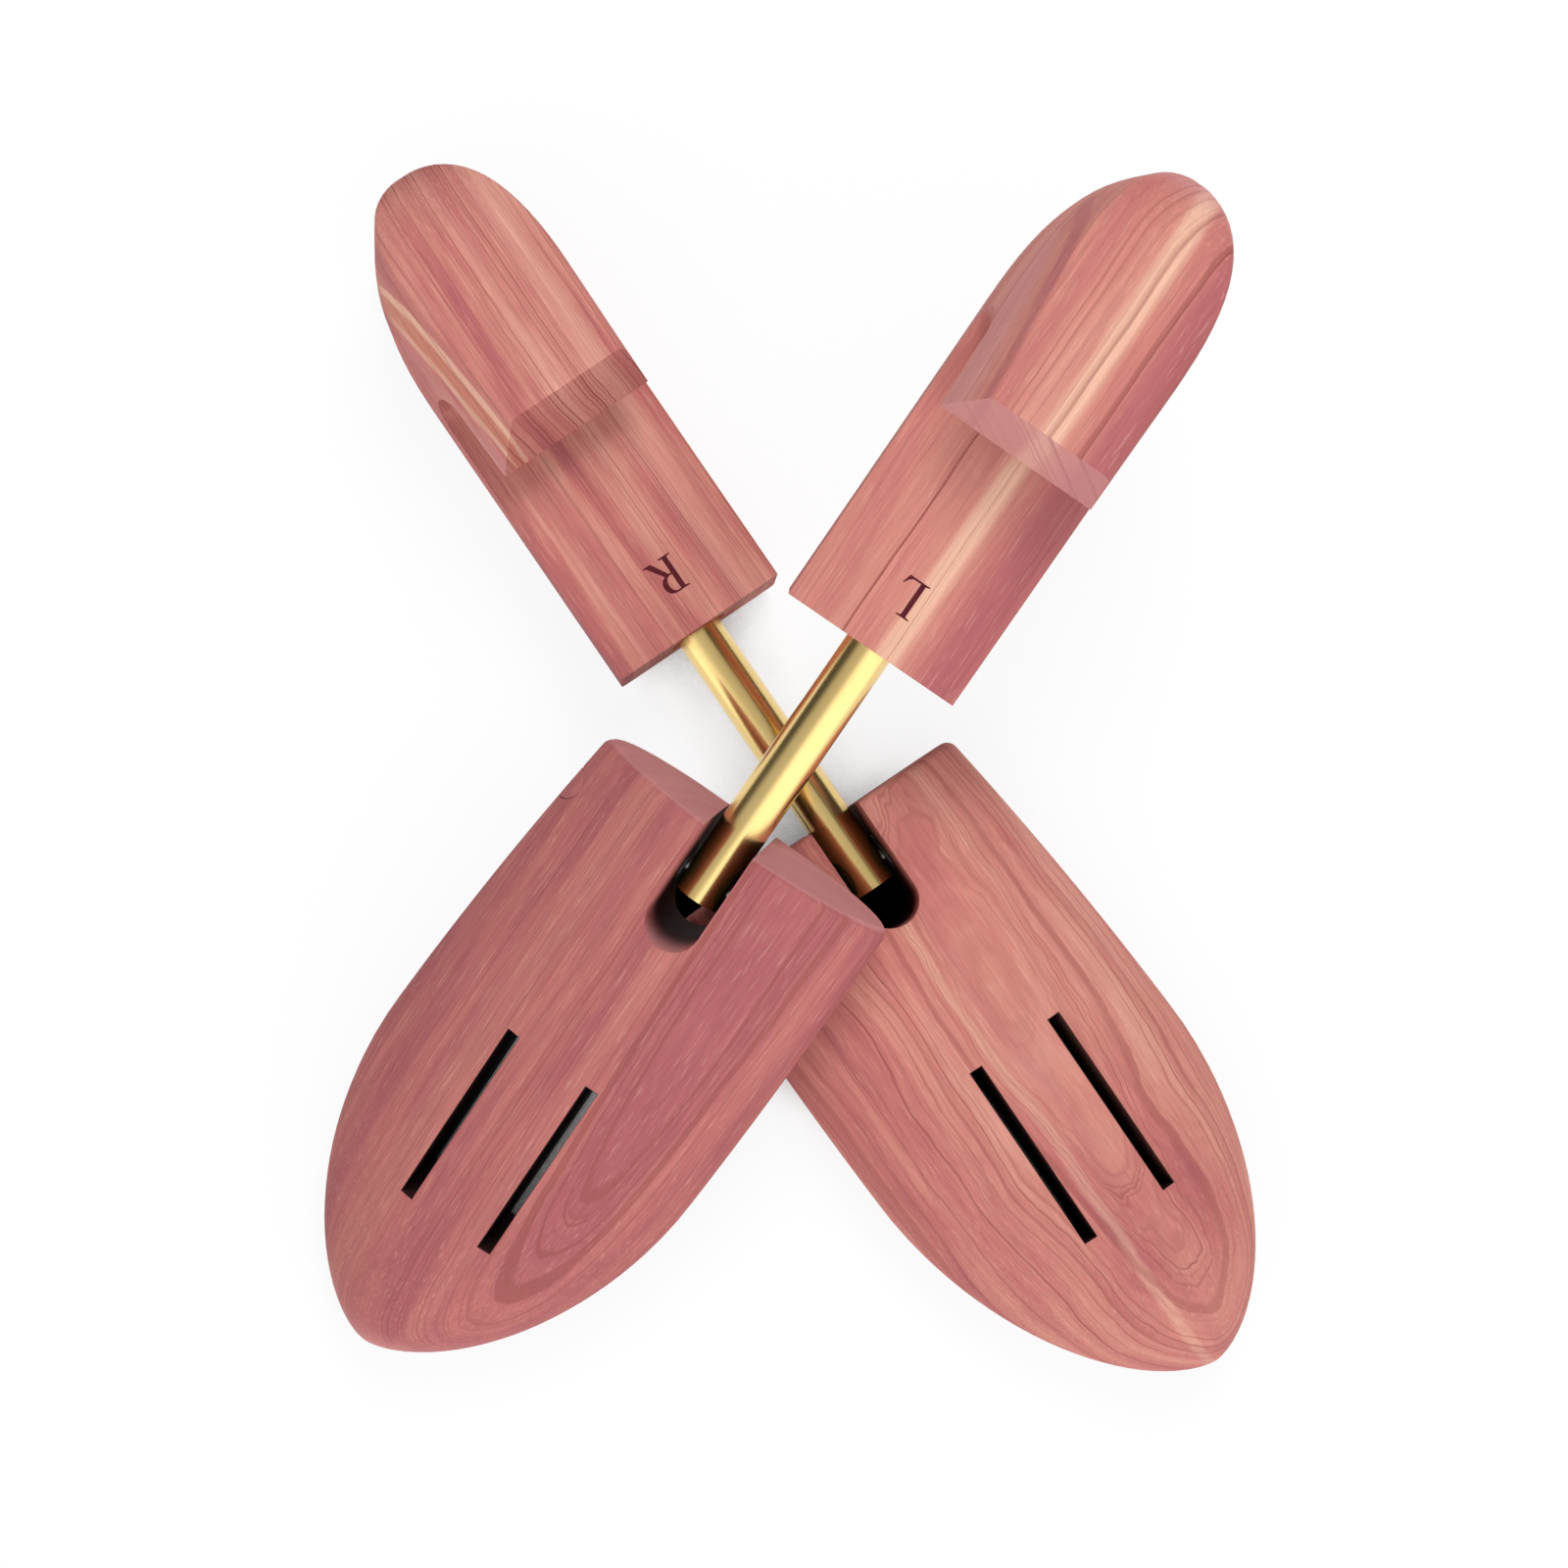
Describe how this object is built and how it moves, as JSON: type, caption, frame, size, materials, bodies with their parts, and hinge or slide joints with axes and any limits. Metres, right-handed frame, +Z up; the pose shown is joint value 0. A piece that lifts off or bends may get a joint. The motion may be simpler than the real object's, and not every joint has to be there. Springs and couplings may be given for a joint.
{
  "type": "shoe stretcher",
  "caption": "Pair of sprung cedar shoe trees, crossed: domed toe block with vent slots on a pivoting brass tube that slides into a hook-handled heel block.",
  "frame": {"origin": "middle of the pair seen from above, in the plane that the right toe block stands on", "axes": "+Z up from the table, normal to the right toe block's sole; +Y away from the toes, towards the heel blocks; +X from the left tree's toe block to the right one's"},
  "size_m": [0.2133, 0.2696, 0.0977],
  "materials": {
    "cedar": "sanded, unvarnished",
    "cedar_plug": "sanded, unvarnished",
    "brass": "polished",
    "steel": "bright drawn"
  },
  "bodies": {
    "right_toe": {"right_toe_block": "cedar", "right_pivot_pin": "steel", "right_inner_washer": "steel", "right_outer_washer": "steel", "right_pin_plug": "cedar_plug"},
    "right_rod": {"right_tube": "brass", "right_stop_collar": "steel"},
    "right_coil": {"right_spring": "steel"},
    "right_heel": {"right_heel_block": "cedar", "right_guide_bush": "brass", "right_bush_pin": "steel"},
    "left_toe": {"left_toe_block": "cedar", "left_pivot_pin": "steel", "left_inner_washer": "steel", "left_outer_washer": "steel", "left_pin_plug": "cedar_plug"},
    "left_rod": {"left_tube": "brass", "left_stop_collar": "steel"},
    "left_coil": {"left_spring": "steel"},
    "left_heel": {"left_heel_block": "cedar", "left_guide_bush": "brass", "left_bush_pin": "steel"}
  },
  "joints": [
    {"name": "right_pivot", "type": "hinge", "parent": "right_toe", "child": "right_rod", "pos_m": [0.0165, -0.0196, 0.015], "axis": [0.8223, 0.5609, -0.0958], "range_deg": [-40, 12]},
    {"name": "right_swivel", "type": "hinge", "parent": "right_rod", "child": "right_coil", "pos_m": [-0.02057, 0.03451, 0.01363], "axis": [0.565, -0.8248, 0.0208], "range_deg": [-20, 20]},
    {"name": "right_press", "type": "slide", "parent": "right_coil", "child": "right_heel", "axis": [0.565, -0.8248, 0.0208], "range_m": [0, 0.03], "stiffness_N_per_m": 700, "springref_m": -0.01, "deforming": ["right_spring"]},
    {"name": "left_pivot", "type": "hinge", "parent": "left_toe", "child": "left_rod", "pos_m": [-0.0175, -0.0209, 0.0414], "axis": [0.8166, -0.5732, 0.0678], "range_deg": [-14, 40]},
    {"name": "left_swivel", "type": "hinge", "parent": "left_rod", "child": "left_coil", "pos_m": [0.01737, 0.02962, 0.04852], "axis": [-0.5643, -0.8175, -0.1152], "range_deg": [-20, 20]},
    {"name": "left_press", "type": "slide", "parent": "left_coil", "child": "left_heel", "axis": [-0.5643, -0.8175, -0.1152], "range_m": [0, 0.03], "stiffness_N_per_m": 700, "springref_m": -0.01, "deforming": ["left_spring"]},
    {"name": "left_lift", "type": "slide", "parent": "right_toe", "child": "left_toe", "axis": [0, 0, 1], "range_m": [0, 0.12]}
  ]
}
